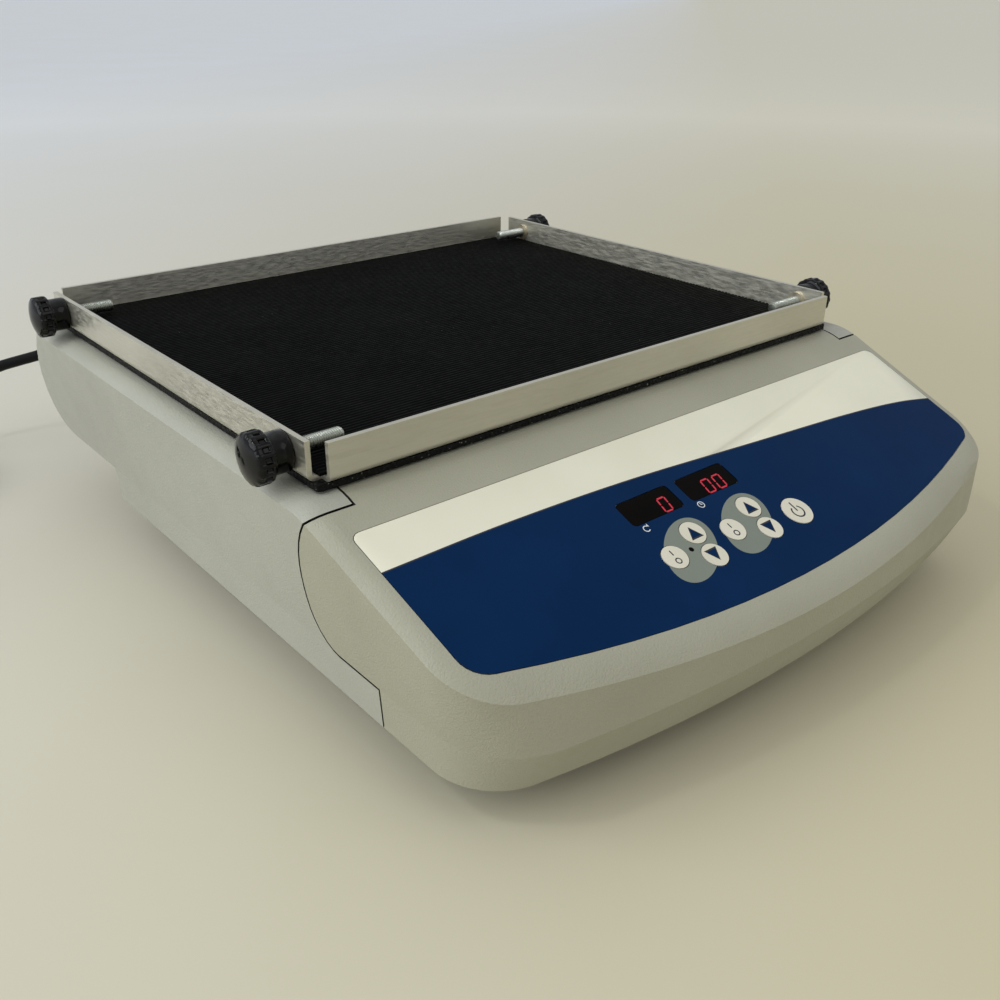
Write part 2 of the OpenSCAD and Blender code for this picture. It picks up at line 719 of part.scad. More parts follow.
module motor_stator() {
    r = motor_d / 2 - 5.05;
    color([0.6, 0.35, 0.15]) translate([motor_at[0], motor_at[1], base_z + 7]) difference() {
        cylinder(r = r, h = motor_h - 14, $fn = 64);
        translate([0, 0, -1]) cylinder(r = 17, h = motor_h, $fn = 64);
        for (i = [0:8]) rotate([0, 0, 40 * i]) translate([20.5, -1.5, -1]) cube([3.5, 3, motor_h]);
    }
}

module motor_rotor() {
    color([0.5, 0.5, 0.52]) translate([motor_at[0], motor_at[1], 0]) {
        translate([0, 0, base_z + 7]) cylinder(r = 16.5, h = motor_h - 14, $fn = 64);
        translate([0, 0, base_z + 2.3]) cylinder(r = 4, h = pulley_z + pulley_h + 1 - base_z - 2.3);
    }
}

module motor_pulley() {
    r = motor_pulley_d / 2;
    color([0.3, 0.31, 0.33]) translate([motor_at[0], motor_at[1], pulley_z]) rotate_extrude($fn = 48)
        polygon(concat([[4.02, 0]], pulley_rim(r, pulley_h), [[4.02, pulley_h]]));
}

// Open loop that a belt makes round two circles, as one outline
function belt_line(r1, r2, c) = let (b = asin((r2 - r1) / c)) concat(
    [for (i = [0:24]) let (a = 90 + b + (180 - 2 * b) * i / 24) [r1 * cos(a) - c, r1 * sin(a)]],
    [for (i = [0:36]) let (a = -90 - b + (180 + 2 * b) * i / 36) [r2 * cos(a), r2 * sin(a)]]);
belt_t = 2.2;
belt_gap = 0.3;
module drive_belt() {
    r1 = motor_pulley_d / 2 + belt_gap;
    r2 = driven_d / 2 + belt_gap;
    color([0.05, 0.05, 0.05]) translate([drive_at[0], drive_at[1], pulley_z + 2.2])
        linear_extrude(pulley_h - 4.4) difference() {
            polygon(belt_line(r1 + belt_t, r2 + belt_t, belt_centres));
            polygon(belt_line(r1, r2, belt_centres));
        }
}

// Open-frame power supply on stand-offs beside the drive
supply_at = [body_x + 62, skirt_rear_y - 42];
module power_supply() {
    color([0.12, 0.3, 0.16]) translate([supply_at[0], supply_at[1], base_z]) {
        for (x = [4, 86]) for (y = [4, 30]) translate([x - 22, y - 10, 0]) cylinder(d = 5, h = 6, $fn = 24);
        translate([-22, -10, 6 - eps]) cube([90, 34, 1.6]);
        translate([-16, -6, 7.6 - 2 * eps]) cube([28, 26, 22]);
        translate([22, 2, 7.6 - 2 * eps]) cylinder(d = 16, h = 24);
        translate([36, -6, 7.6 - 2 * eps]) cube([12, 26, 14]);
        translate([54, -4, 7.6 - 2 * eps]) cube([8, 22, 10]);
    }
}

// Motor drive board flat on the base plate in front of the posts
module drive_board() {
    color([0.1, 0.32, 0.2]) translate([body_x - 50, orbit_y - 165, floor_z]) {
        for (x = [5, 95]) for (y = [5, 45]) translate([x, y, 0]) cylinder(d = 6, h = 8, $fn = 24);
        translate([0, 0, 8 - eps]) cube([100, 50, 1.6]);
        translate([10, 8, 9.6 - 2 * eps]) cube([14, 34, 12]);
        translate([36, 10, 9.6 - 2 * eps]) cube([16, 12, 3]);
        translate([62, 16, 9.6 - 2 * eps]) cylinder(d = 12, h = 16, $fn = 32);
        translate([80, 10, 9.6 - 2 * eps]) cube([12, 30, 8]);
    }
}

inlet_pin_at = [[-7, -2], [7, -2], [0, 3]];
module mains_inlet() {
    color([0.05, 0.05, 0.05]) translate([inlet_x, pocket_y, inlet_z]) difference() {
        union() {
            translate([-15.5, 0, -12]) cube([31, 2.5, 24]);
            translate([-inlet_w / 2 + 0.3, -24, -inlet_h / 2 + 0.3])
                cube([inlet_w - 0.6, 24.5, inlet_h - 0.6]);
        }
        translate([-12, -16, -8]) cube([24, 20, 16]);
    }
    color([0.8, 0.8, 0.82]) translate([inlet_x, pocket_y, inlet_z])
        for (p = inlet_pin_at) translate([p[0] - 1, -16.5, p[1] - 2.2]) cube([2, 12, 4.4]);
}

// Platform under the tray with three bosses that sit on the eccentric pins
module platform_plate() {
    color([0.07, 0.07, 0.07]) difference() {
        union() {
            translate([0, tray_y, plate_z]) round_box(tray_w - 3, tray_d - 3, plate_t, 2);
            for (p = post_at) translate([p[0] + pin_dx, p[1] + pin_dy, boss_z])
                cylinder(d = boss_d, h = plate_z - boss_z + eps, $fn = 64);
        }
        for (p = post_at) translate([p[0] + pin_dx, p[1] + pin_dy, 0]) {
            translate([0, 0, boss_z - 1]) cylinder(d = pin_bearing_d + 0.1, h = bearing_w + 2, $fn = 64);
            translate([0, 0, boss_z]) cylinder(d = pin_d + 6, h = plate_z - 1 - boss_z, $fn = 48);
        }
        for (s = tray_screw_at) translate([s[0], s[1], plate_z - 1]) cylinder(d = 4.2, h = 10, $fn = 24);
    }
}

module platform_bearings() {
    color([0.75, 0.76, 0.78]) for (p = post_at)
        translate([p[0] + pin_dx, p[1] + pin_dy, boss_z + 1]) ball_bearing(pin_d, pin_bearing_d, bearing_w);
}

// Folded tray: a floor with four rails bent up, open at the corners
bend_r = 3.2;
tray_screw_at = [for (sx = [-1, 0, 1]) for (sy = [-1, 1])
    [sx * (tray_w / 2 - 35.1), tray_y + sy * (tray_d / 2 - 34.7)]];
function rail_profile() = concat(
    [[12, 0], [bend_r, 0]],
    [for (i = [1:5]) let (a = 270 - 18 * i) [bend_r + bend_r * cos(a), bend_r + bend_r * sin(a)]],
    [[0, rail_h], [sheet_t, rail_h]],
    [for (i = [0:5]) let (a = 180 + 18 * i, r = bend_r - sheet_t)
        [bend_r + r * cos(a), bend_r + r * sin(a)]],
    [[12, sheet_t]]);

module rail(len) {
    rotate([90, 0, 0]) translate([0, 0, -len / 2]) linear_extrude(len) polygon(rail_profile());
}

module tray() {
    color([0.75, 0.75, 0.74]) difference() {
        union() {
            translate([0, tray_y, tray_z]) linear_extrude(sheet_t)
                square([tray_w - 14, tray_d - 14], center = true);
            for (s = [0, 1]) translate([0, tray_y, tray_z]) rotate([0, 0, 180 * s]) {
                translate([-tray_w / 2, 0, 0]) rail(tray_d - 2 * relief);
                rotate([0, 0, 90]) translate([-tray_d / 2, 0, 0]) rail(tray_w - 2 * relief);
            }
        }
        for (s = tray_screw_at) translate([s[0], s[1], tray_z - 1]) {
            cylinder(d = 4.4, h = 10, $fn = 24);
            translate([0, 0, 1.2]) cylinder(d = 8.2, h = 4, $fn = 24);
        }
        for (s = [-1, 1]) translate([-tray_w, tray_y + s * stud_y, rail_z - stud_drop]) rotate([0, 90, 0])
            cylinder(d = stud_d + 2.5, h = 2 * tray_w);
    }
}

module tray_screws() {
    color([0.7, 0.7, 0.7]) for (s = tray_screw_at) translate([s[0], s[1], 0]) {
        translate([0, 0, tray_z + 0.3]) cylinder(d = 7.6, h = 1.9, $fn = 24);
        translate([0, 0, plate_z + 0.2]) cylinder(d = 4, h = 4, $fn = 24);
    }
}

// Ribbed mat, its side view drawn once and run along X
mat_w = tray_w - 2 * sheet_t - 4;
mat_d = tray_d - 2 * sheet_t - 4;
rib_n = floor((mat_d - 2) / rib_pitch);
module mat() {
    rib_h = 0.5;
    ribs = [for (i = [0:rib_n - 1]) let (y = -rib_n * rib_pitch / 2 + i * rib_pitch) each
        [[y, mat_t], [y + rib_pitch * 0.25, mat_t + rib_h], [y + rib_pitch * 0.65, mat_t + rib_h],
        [y + rib_pitch * 0.9, mat_t]]];
    color([0.04, 0.04, 0.04]) translate([-mat_w / 2, tray_y, mat_z]) rotate([90, 0, 90])
        linear_extrude(mat_w) polygon(concat([[-mat_d / 2, 0], [-mat_d / 2, mat_t]], ribs,
            [[mat_d / 2, mat_t], [mat_d / 2, 0]]));
}

// Places one of the four clamp sets: side is -1 or 1 in X, end is -1 or 1 in Y, x then points outward
module at_clamp(side, end) {
    translate([side * tray_w / 2, tray_y + end * stud_y, rail_z - stud_drop])
        rotate([0, side > 0 ? 90 : -90, 0]) children();
}

module clinch_nuts() {
    nut_d = stud_d + 2.4;
    color([0.7, 0.7, 0.66]) for (sx = [-1, 1]) for (sy = [-1, 1]) at_clamp(sx, sy) difference() {
        union() {
            translate([0, 0, -sheet_t - 1.6]) cylinder(d = nut_d + 2, h = 1.6);
            translate([0, 0, -sheet_t - 1.6]) cylinder(d = nut_d, h = sheet_t + 1.5);
        }
        translate([0, 0, -sheet_t - 3]) cylinder(d = stud_d + 2 * run_clear, h = sheet_t + 6);
    }
}

stud_in_knob = 12;
module stud(side, end) {
    r = stud_d / 2;
    l = sheet_t + stud_out + stud_in_knob;
    color([0.75, 0.75, 0.72]) at_clamp(side, end) translate([0, 0, -sheet_t - stud_out])
        rotate_extrude($fn = 36) polygon([[0, 0], [r - 0.8, 0], [r, 0.8], [r, l], [0, l]]);
}

module stud_front_left() { stud(-1, -1); }
module stud_front_right() { stud(1, -1); }
module stud_back_left() { stud(-1, 1); }
module stud_back_right() { stud(1, 1); }

// Fluted knob with a domed face, its hub against the rail
module knob(side, end) {
    r = knob_d / 2;
    rh = hub_d / 2;
    ri = stud_d / 2 + run_clear;
    l = hub_l + head_l;
    dome = 2.5;
    color([0.04, 0.04, 0.04]) at_clamp(side, end) difference() {
        rotate_extrude($fn = 64) polygon(concat(
            [[ri, 0.3], [rh - 0.8, 0.3], [rh, 1], [rh, hub_l], [r - 1.2, hub_l + 0.4], [r, hub_l + 1.5],
                [r, l - dome - 1], [r - 0.6, l - dome]],
            [for (i = [1:8]) let (t = i / 8) [(r - 0.6) * (1 - t), l - dome + dome * (1 - pow(1 - t, 2))]],
            [[0, stud_in_knob + 0.3], [ri, stud_in_knob + 0.3]]));
        for (i = [0:flutes - 1]) rotate([0, 0, 360 / flutes * i]) translate([r + 0.5, 0, hub_l + 1.8])
            cylinder(r = 1.3, h = head_l - 5.5, $fn = 24);
    }
}

module knob_front_left() { knob(-1, -1); }
module knob_front_right() { knob(1, -1); }
module knob_back_left() { knob(-1, 1); }
module knob_back_right() { knob(1, 1); }

// The mains lead, from its connector at the rear to the plug on its far end
conn_l = 32;
conn_face_y = pocket_y + 2.8;
plug_l = 40;
blade_l = 17;
coil_lift = 1;
coil_mid_r = 6 * lead_d;
coil_at = [-265, 263];
coil_wide = 3;
coil_high = 2;

// Points along the two free stretches, chosen by hand
lead_route = [[-107, 259, 68], [-107, 267, 68], [-109, 276, 67], [-114, 285, 64.8],
    [-123, 292, 62], [-135, 296, 59], [-148, 299, 56], [-160, 302, 54], [-172, 305, 51.5],
    [-184, 308, 46], [-195, 310, 39.5], [-204, 311, 33], [-213, 312, 26], [-221.5, 312, 19.5],
    [-229.5, 312, 13.5], [-237.5, 312, 8.8]];
tail_route = [[-314, 236.2, 11.6], [-314, 230, 11.9], [-314, 224, 12.2], [-314, 218, 12.5],
    [-314, 212, 12.5]];
plug_end = tail_route[len(tail_route) - 1];

function unit(v) = v / norm(v);

// Round tube swept along a route
module tube(route, d) {
    sides = 10;
    n = len(route);
    pts = [for (i = [0:n - 1])
        let (t = unit(route[min(i + 1, n - 1)] - route[max(i - 1, 0)]),
            a = unit(cross([0, 0, 1], t)), b = cross(t, a))
        for (k = [0:sides - 1]) let (w = 360 * k / sides)
            route[i] + d / 2 * (cos(w) * a + sin(w) * b)];
    walls = [for (i = [0:n - 2]) for (k = [0:sides - 1])
        let (p = i * sides + k, q = i * sides + (k + 1) % sides)
            each [[p, p + sides, q], [q, p + sides, q + sides]]];
    polyhedron(pts, concat(walls, [[for (k = [0:sides - 1]) k]],
        [[for (k = [sides - 1:-1:0]) (n - 1) * sides + k]]));
}

module lead_connector() {
    relief_l = lead_route[0].y - conn_face_y - conn_l;
    color([0.04, 0.04, 0.04]) translate([inlet_x, conn_face_y, inlet_z]) {
        difference() {
            translate([-11.6, -15, -7.6]) cube([23.2, 15 + eps, 15.2]);
            for (p = inlet_pin_at) translate([p[0] - 1.3, -16, p[1] - 2.6]) cube([2.6, 12, 5.2]);
        }
        rotate([-90, 0, 0]) {
            round_box(28, 20, conn_l * 0.6, 3);
            hull() {
                translate([0, 0, conn_l * 0.6 - eps]) round_box(28, 20, eps, 3);
                translate([0, 0, conn_l - 1]) round_box(15, 14, 1, 3);
            }
            translate([0, 0, conn_l - eps])
                cylinder(d1 = 12.5, d2 = lead_d + 1.6, h = relief_l - 0.2, $fn = 32);
        }
    }
}

module lead_cord() {
    color([0.05, 0.05, 0.05]) tube(lead_route, lead_d);
}

module lead_tail() {
    color([0.05, 0.05, 0.05]) tube(tail_route, lead_d);
}

module lead_coil() {
    color([0.05, 0.05, 0.05]) translate([coil_at[0], coil_at[1], coil_lift]) rotate_extrude($fn = 72)
        translate([coil_mid_r - coil_wide * lead_d / 2, 0]) square([coil_wide, coil_high] * lead_d);
}

module lead_tie() {
    t = 0.7;
    inner = [coil_wide * lead_d + 0.4, coil_high * lead_d + 0.4];
    mid_z = coil_lift + coil_high * lead_d / 2;
    color([0.1, 0.1, 0.1]) translate([coil_at[0] + coil_mid_r, coil_at[1] + 2.5, mid_z])
        rotate([90, 0, 0]) linear_extrude(5) difference() {
            square(inner + [2 * t, 2 * t], center = true);
            square(inner, center = true);
        }
}

module lead_plug() {
    relief_l = 28;
    color([0.04, 0.04, 0.04]) translate([plug_end.x, plug_end.y - 0.2, plug_end.z]) rotate([90, 0, 0]) {
        cylinder(d1 = lead_d + 1.6, d2 = 12, h = relief_l, $fn = 32);
        hull() {
            translate([0, 0, relief_l - eps]) round_box(14, 13, 1, 3);
            translate([0, 0, relief_l + plug_l * 0.4]) round_box(27, 22, 1, 3);
        }
        translate([0, 0, relief_l + plug_l * 0.4 + 1 - eps]) round_box(27, 22, plug_l * 0.6 - 1, 3);
    }
    color([0.8, 0.75, 0.5]) translate([plug_end.x, plug_end.y - 0.2 - relief_l - plug_l + eps, plug_end.z])
        rotate([90, 0, 0]) {
            for (sx = [-1, 1]) translate([sx * 6.35 - 0.75, 0, 0]) cube([1.5, 6.3, blade_l]);
            translate([0, -6.5, 0]) cylinder(d = 4.8, h = blade_l + 3, $fn = 24);
        }
}

rear_housing();
front_console();
base_pan();
feet();
pan_screws();
keypad_overlay();
speed_window();
time_window();
digit_displays();
display_board();
board_screws();
key_switches();
indicator();
key_speed_up();
key_speed_down();
key_speed_onoff();
key_time_up();
key_time_down();
key_time_onoff();
key_power();
drive_base_plate();
bearing_blocks();
block_bearings();
block_screws();
drive_shaft();
driven_pulley();
counterweight();
left_idler_shaft();
right_idler_shaft();
motor_can();
motor_stator();
motor_rotor();
motor_pulley();
drive_belt();
power_supply();
drive_board();
mains_inlet();
platform_plate();
platform_bearings();
tray();
tray_screws();
mat();
clinch_nuts();
stud_front_left();
stud_front_right();
stud_back_left();
stud_back_right();
knob_front_left();
knob_front_right();
knob_back_left();
knob_back_right();
lead_connector();
lead_cord();
lead_coil();
lead_tie();
lead_tail();
lead_plug();
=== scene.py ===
"""Looks of a laboratory bench orbital shaker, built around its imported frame."""

import json
import math

import bmesh
import bpy
from mathutils import Matrix, Vector

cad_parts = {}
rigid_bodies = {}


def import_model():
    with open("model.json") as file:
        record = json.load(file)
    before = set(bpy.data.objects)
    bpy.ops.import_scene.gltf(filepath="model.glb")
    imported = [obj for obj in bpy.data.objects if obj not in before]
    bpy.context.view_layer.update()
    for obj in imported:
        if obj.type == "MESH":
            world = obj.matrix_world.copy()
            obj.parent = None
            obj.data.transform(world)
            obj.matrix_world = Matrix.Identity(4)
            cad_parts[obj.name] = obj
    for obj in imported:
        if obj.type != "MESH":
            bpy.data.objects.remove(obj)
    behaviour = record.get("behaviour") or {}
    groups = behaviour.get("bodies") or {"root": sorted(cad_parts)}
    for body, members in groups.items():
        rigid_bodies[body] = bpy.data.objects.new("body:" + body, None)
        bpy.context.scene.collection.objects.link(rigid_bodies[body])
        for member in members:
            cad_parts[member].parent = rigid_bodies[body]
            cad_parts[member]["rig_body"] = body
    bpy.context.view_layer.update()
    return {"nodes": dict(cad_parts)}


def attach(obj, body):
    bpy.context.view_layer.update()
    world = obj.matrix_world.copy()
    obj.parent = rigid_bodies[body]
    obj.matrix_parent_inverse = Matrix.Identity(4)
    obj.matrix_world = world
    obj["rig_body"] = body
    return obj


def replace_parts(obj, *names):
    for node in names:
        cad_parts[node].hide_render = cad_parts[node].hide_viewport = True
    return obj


MM = 0.001
WELD = 2e-6
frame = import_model()
CADS = frame["nodes"]


# Camera at the photograph's viewing angle
def make_camera():
    data = bpy.data.cameras.new("camera")
    data.lens = 36.62
    data.sensor_width = 36
    cam = bpy.data.objects.new("camera", data)
    bpy.context.scene.collection.objects.link(cam)
    cam.location = (-0.3325, -0.3994, 0.2777)
    cam.rotation_euler = [math.radians(a) for a in (63.309, -0.330, -40.183)]
    bpy.context.scene.camera = cam


# Materials
def srgb(r, g, b):
    """A screen colour, from 0 to 255, in linear light."""
    parts = [c / 255 / 12.92 if c < 10 else ((c / 255 + 0.055) / 1.055) ** 2.4 for c in (r, g, b)]
    return (*parts, 1)


class Finish:
    """A Principled material and short calls that build its nodes."""

    def __init__(self, name, rough=0.5, metal=0.0, **sockets):
        self.material = bpy.data.materials.new(name)
        self.material.use_nodes = True
        self.tree = self.material.node_tree
        self.shader = self.tree.nodes["Principled BSDF"]
        self.place = self.add("TexCoord").outputs["Object"]
        self.set(Roughness=rough, Metallic=metal, **sockets)

    def plug(self, socket, value):
        if isinstance(value, bpy.types.NodeSocket):
            self.tree.links.new(value, socket)
        else:
            socket.default_value = value

    def set(self, **sockets):
        for key, value in sockets.items():
            self.plug(self.shader.inputs[key.replace("_", " ")], value)

    def add(self, kind, **values):
        node = self.tree.nodes.new("ShaderNode" + kind)
        for key, value in values.items():
            if key[0].islower():
                setattr(node, key, value)
            else:
                self.plug(node.inputs[key.replace("_", " ")], value)
        return node

    def stretched(self, x, y, z):
        return self.add("Mapping", Vector=self.place, Scale=(x, y, z)).outputs[0]

    def noise(self, scale, detail=2.0, at=None):
        node = self.add("TexNoise", Vector=at or self.place, Scale=scale, Detail=detail)
        return node.outputs["Fac"]

    def cells(self, scale):
        return self.add("TexVoronoi", Vector=self.place, Scale=scale).outputs["Distance"]

    def between(self, fac, low, high, a, b):
        """From a at low to b at high, as numbers."""
        node = self.add("MapRange", Value=fac)
        for i, value in enumerate((low, high, a, b)):
            node.inputs[i + 1].default_value = value
        return node.outputs[0]

    def ramp(self, fac, *stops):
        node = self.add("ValToRGB", Fac=fac)
        points = node.color_ramp.elements
        while len(points) < len(stops):
            points.new(0.5)
        for point, (at, colour) in zip(points, stops):
            point.position = at
            point.color = colour
        return node.outputs["Color"]

    def mix(self, fac, a, b):
        node = self.add("Mix", data_type="RGBA")
        self.plug(node.inputs[0], fac)
        self.plug(node.inputs[6], a)
        self.plug(node.inputs[7], b)
        return node.outputs[2]

    def relief(self, height, depth, strength, under=None):
        node = self.add("Bump", Height=height, Distance=depth, Strength=strength)
        if under:
            self.plug(node.inputs["Normal"], under)
        self.set(Normal=node.outputs[0])
        return node.outputs[0]


def moulded(name, tone, shade):
    """Fine-textured moulded plastic, a little uneven in tone."""
    f = Finish(name)
    f.set(Base_Color=f.ramp(f.noise(14, 3), (0.3, shade), (0.7, tone)))
    f.set(Roughness=f.between(f.noise(90, 2), 0.3, 0.7, 0.42, 0.56))
    coarse = f.relief(f.noise(1150, 1), 0.00034, 0.7)
    f.relief(f.cells(1900), 0.00012, 0.5, coarse)
    return f.material


def printed(name, tone, shade, rough=0.36, gloss=0.5):
    """Satin printed film with a faint grain."""
    f = Finish(name, Specular_IOR_Level=gloss)
    f.set(Base_Color=f.ramp(f.noise(22, 4), (0.3, shade), (0.7, tone)))
    f.set(Roughness=f.between(f.noise(160), 0.3, 0.7, rough - 0.02, rough + 0.03))
    f.relief(f.noise(2400, 1), 0.00003, 0.35)
    return f.material


def brushed(name, tone, shade, rough=0.4):
    """Sheet metal brushed along its rails, with some deeper scratches."""
    f = Finish(name, metal=0.9)
    streaks = f.noise(1, 4, f.stretched(34, 34, 2600))
    marks = f.noise(1, 2, f.stretched(150, 150, 900))
    toned = f.ramp(f.noise(9, 2), (0.2, shade), (0.8, tone))
    f.set(Base_Color=f.mix(f.between(streaks, 0.42, 0.72, 0.0, 0.55), toned, shade))
    f.set(Roughness=f.between(marks, 0.35, 0.7, rough - 0.08, rough + 0.12))
    fine = f.relief(streaks, 0.00005, 0.6)
    f.relief(marks, 0.00001, 0.3, fine)
    return f.material


def cast(name, tone, shade, rough=0.45, metal=0.0, grain=1500, depth=0.00005, **sockets):
    """Plain piece with a slight change of tone and a fine relief."""
    f = Finish(name, metal=metal, **sockets)
    f.set(Base_Color=f.ramp(f.noise(40, 3), (0.3, shade), (0.7, tone)))
    f.set(Roughness=f.between(f.noise(200), 0.3, 0.7, rough - 0.07, rough + 0.09))
    f.relief(f.noise(grain, 2), depth, 0.5)
    return f.material


def rubber_sheet(name):
    """Black ribbed rubber with dust specks."""
    f = Finish(name, Specular_IOR_Level=0.03)
    dust = f.between(f.cells(240), 0.02, 0.05, 1.0, 0.0)
    sparse = f.between(f.noise(37, 2), 0.56, 0.6, 0.0, 1.0)
    specks = f.add("Math", operation="MULTIPLY")
    f.plug(specks.inputs[0], dust)
    f.plug(specks.inputs[1], sparse)
    base = f.ramp(f.noise(18, 4), (0.3, srgb(6, 7, 6)), (0.7, srgb(12, 13, 12)))
    f.set(Base_Color=f.mix(specks.outputs[0], base, srgb(120, 118, 110)))
    f.set(Roughness=f.between(f.noise(300), 0.3, 0.7, 0.5, 0.66))
    f.relief(f.noise(1700, 2), 0.00005, 0.5)
    return f.material


def wrinkled(name):
    """Black wrinkle coat, with glints at its crests painted in as pale specks."""
    f = Finish(name, Specular_IOR_Level=0.12)
    cells = f.cells(620)
    # Painted highlights: pale specks in the base colour stand for glints on the coat's crests.
    painted_glints = f.between(f.noise(1300, 2), 0.69, 0.73, 0.0, 1.0)
    f.set(Base_Color=f.mix(painted_glints, srgb(6, 6, 6), srgb(150, 148, 140)))
    f.set(Roughness=f.between(cells, 0.0, 0.8, 0.25, 0.6))
    f.relief(cells, 0.0006, 0.8, f.relief(f.noise(1500, 2), 0.0003, 0.6))
    return f.material


def glowing(name):
    """Lit segment with a fine dotted grain."""
    f = Finish(name, rough=0.4)
    red = f.ramp(f.cells(2600), (0.2, srgb(214, 30, 58)), (0.85, srgb(158, 14, 36)))
    f.set(Base_Color=red, Emission_Color=red, Emission_Strength=0.2)
    return f.material


def dark_window(name):
    """Smooth tinted window over a dark reddish face."""
    f = Finish(name, rough=0.3, Specular_IOR_Level=0.03)
    f.set(Base_Color=f.ramp(f.noise(70, 3), (0.3, srgb(5, 4, 3)), (0.75, srgb(11, 8, 6))))
    f.relief(f.noise(300, 1), 0.00002, 0.2)
    return f.material


FINISH = {
    "housing": moulded("housing grey", srgb(171, 171, 158), srgb(164, 164, 151)),
    "console": moulded("console grey", srgb(166, 164, 145), srgb(158, 156, 137)),
    "seam": cast("seam shade", srgb(52, 51, 45), srgb(44, 43, 38), 0.7),
    "ivory": printed("film ivory", srgb(232, 229, 208), srgb(226, 223, 201)),
    "blue": printed("film blue", srgb(5, 40, 79), srgb(4, 36, 72), 0.42, 0.04),
    "line": printed("film line", srgb(14, 22, 42), srgb(10, 17, 34)),
    "oval": printed("film grey", srgb(124, 131, 119), srgb(117, 124, 112)),
    "mark": printed("film mark", srgb(24, 26, 38), srgb(18, 20, 30)),
    "pale": printed("film pale", srgb(224, 226, 224), srgb(208, 211, 210)),
    "key": cast("key cream", srgb(221, 216, 197), srgb(213, 208, 188), 0.42),
    "window": dark_window("window tint"),
    "lit": glowing("lit segment"),
    "tray": brushed("brushed sheet", srgb(218, 215, 201), srgb(196, 193, 179)),
    "mat": rubber_sheet("ribbed rubber"),
    "plate": wrinkled("black wrinkle coat"),
    "knob": cast("knob black", srgb(7, 7, 7), srgb(4, 4, 4), 0.12, grain=500, depth=0.00001,
                 Specular_IOR_Level=0.22),
    "stud": cast("stud zinc", srgb(184, 187, 177), srgb(146, 149, 139), 0.3, metal=0.95, grain=900),
    "nut": cast("nut zinc", srgb(214, 205, 184), srgb(186, 176, 152), 0.36, metal=0.9),
    "lead": cast("lead vinyl", srgb(11, 11, 11), srgb(7, 7, 7), 0.34, grain=700,
                 Specular_IOR_Level=0.2),
    "pan": cast("pan coat", srgb(118, 120, 122), srgb(106, 108, 110), 0.6, grain=900, depth=0.0001),
    "foot": cast("foot rubber", srgb(22, 22, 22), srgb(15, 15, 15), 0.7, depth=0.0001),
    "zinc": cast("screw zinc", srgb(196, 196, 190), srgb(165, 165, 158), 0.35, metal=0.95),
    "board": cast("board green", srgb(26, 82, 48), srgb(18, 66, 38), 0.4),
    "dark": cast("dark plastic", srgb(28, 27, 27), srgb(20, 20, 20), 0.45),
    "steel": cast("machined steel", srgb(176, 178, 182), srgb(150, 152, 157), 0.32, metal=1.0),
    "bright": cast("bearing steel", srgb(205, 207, 210), srgb(180, 182, 186), 0.22, metal=1.0),
    "painted": cast("motor paint", srgb(44, 46, 50), srgb(34, 36, 40), 0.5),
    "copper": cast("winding copper", srgb(178, 98, 52), srgb(150, 78, 40), 0.35, metal=0.9, grain=2500),
    "belt": cast("belt rubber", srgb(20, 20, 20), srgb(13, 13, 13), 0.62, grain=1200, depth=0.0002),
}
NODE_FINISH = {
    "housing": ["rear_housing"],
    "console": ["front_console"],
    "pan": ["base_pan"],
    "foot": ["feet"],
    "zinc": ["pan_screws", "board_screws", "block_screws", "tray_screws"],
    "ivory": ["keypad_overlay"],
    "window": ["speed_window", "time_window", "indicator"],
    "board": ["display_board", "power_supply", "drive_board"],
    "dark": ["digit_displays", "key_switches", "mains_inlet", "lead_tie"],
    "key": ["key_speed_up", "key_speed_down", "key_speed_onoff", "key_time_up", "key_time_down",
            "key_time_onoff", "key_power"],
    "steel": ["drive_base_plate", "bearing_blocks", "drive_shaft", "left_idler_shaft", "right_idler_shaft",
              "motor_rotor", "counterweight"],
    "bright": ["block_bearings", "platform_bearings"],
    "painted": ["motor_can", "driven_pulley", "motor_pulley"],
    "copper": ["motor_stator"],
    "belt": ["drive_belt"],
    "plate": ["platform_plate"],
    "tray": ["tray"],
    "mat": ["mat"],
    "nut": ["clinch_nuts"],
    "lead": ["lead_connector", "lead_cord", "lead_coil", "lead_tail", "lead_plug"],
}
FINISH_OF = {node: key for key, nodes in NODE_FINISH.items() for node in nodes}
for node, key in FINISH_OF.items():
    for place in CADS[node].material_slots:
        place.material = FINISH[key]


# Building pieces
def piece(name, bm, body, finish=None, matrix=None):
    """A new object from a bmesh, riding on a body."""
    mesh = bpy.data.meshes.new(name)
    bm.to_mesh(mesh)
    bm.free()
    if matrix:
        mesh.transform(matrix)
    if finish:
        mesh.materials.append(FINISH[finish])
    obj = bpy.data.objects.new(name, mesh)
    bpy.context.scene.collection.objects.link(obj)
    if body:
        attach(obj, body)
    return obj


def baked(obj):
    """Puts the object's modifiers into its mesh."""
    graph = bpy.context.evaluated_depsgraph_get()
    mesh = bpy.data.meshes.new_from_object(obj.evaluated_get(graph))
    obj.modifiers.clear()
    obj.data = mesh


def smoothed(obj, angle=32):
    obj.data.shade_smooth()
    obj.data.set_sharp_from_angle(angle=math.radians(angle))
    return obj


def copied(node, name, body, finish):
    """A welded copy of a CAD node's mesh as a new object."""
    bm = bmesh.new()
    bm.from_mesh(CADS[node].data)
    bmesh.ops.remove_doubles(bm, verts=bm.verts, dist=WELD)
    bmesh.ops.dissolve_degenerate(bm, edges=bm.edges, dist=WELD / 2)
    return piece(name, bm, body, finish)


EXACTLY_FLAT = 0.03


def merged(mesh, angle=0.3):
    """Joins the triangles of each flat face."""
    bm = bmesh.new()
    bm.from_mesh(mesh)
    bmesh.ops.dissolve_limit(bm, angle_limit=math.radians(angle), verts=bm.verts, edges=bm.edges)
    bm.to_mesh(mesh)
    bm.free()


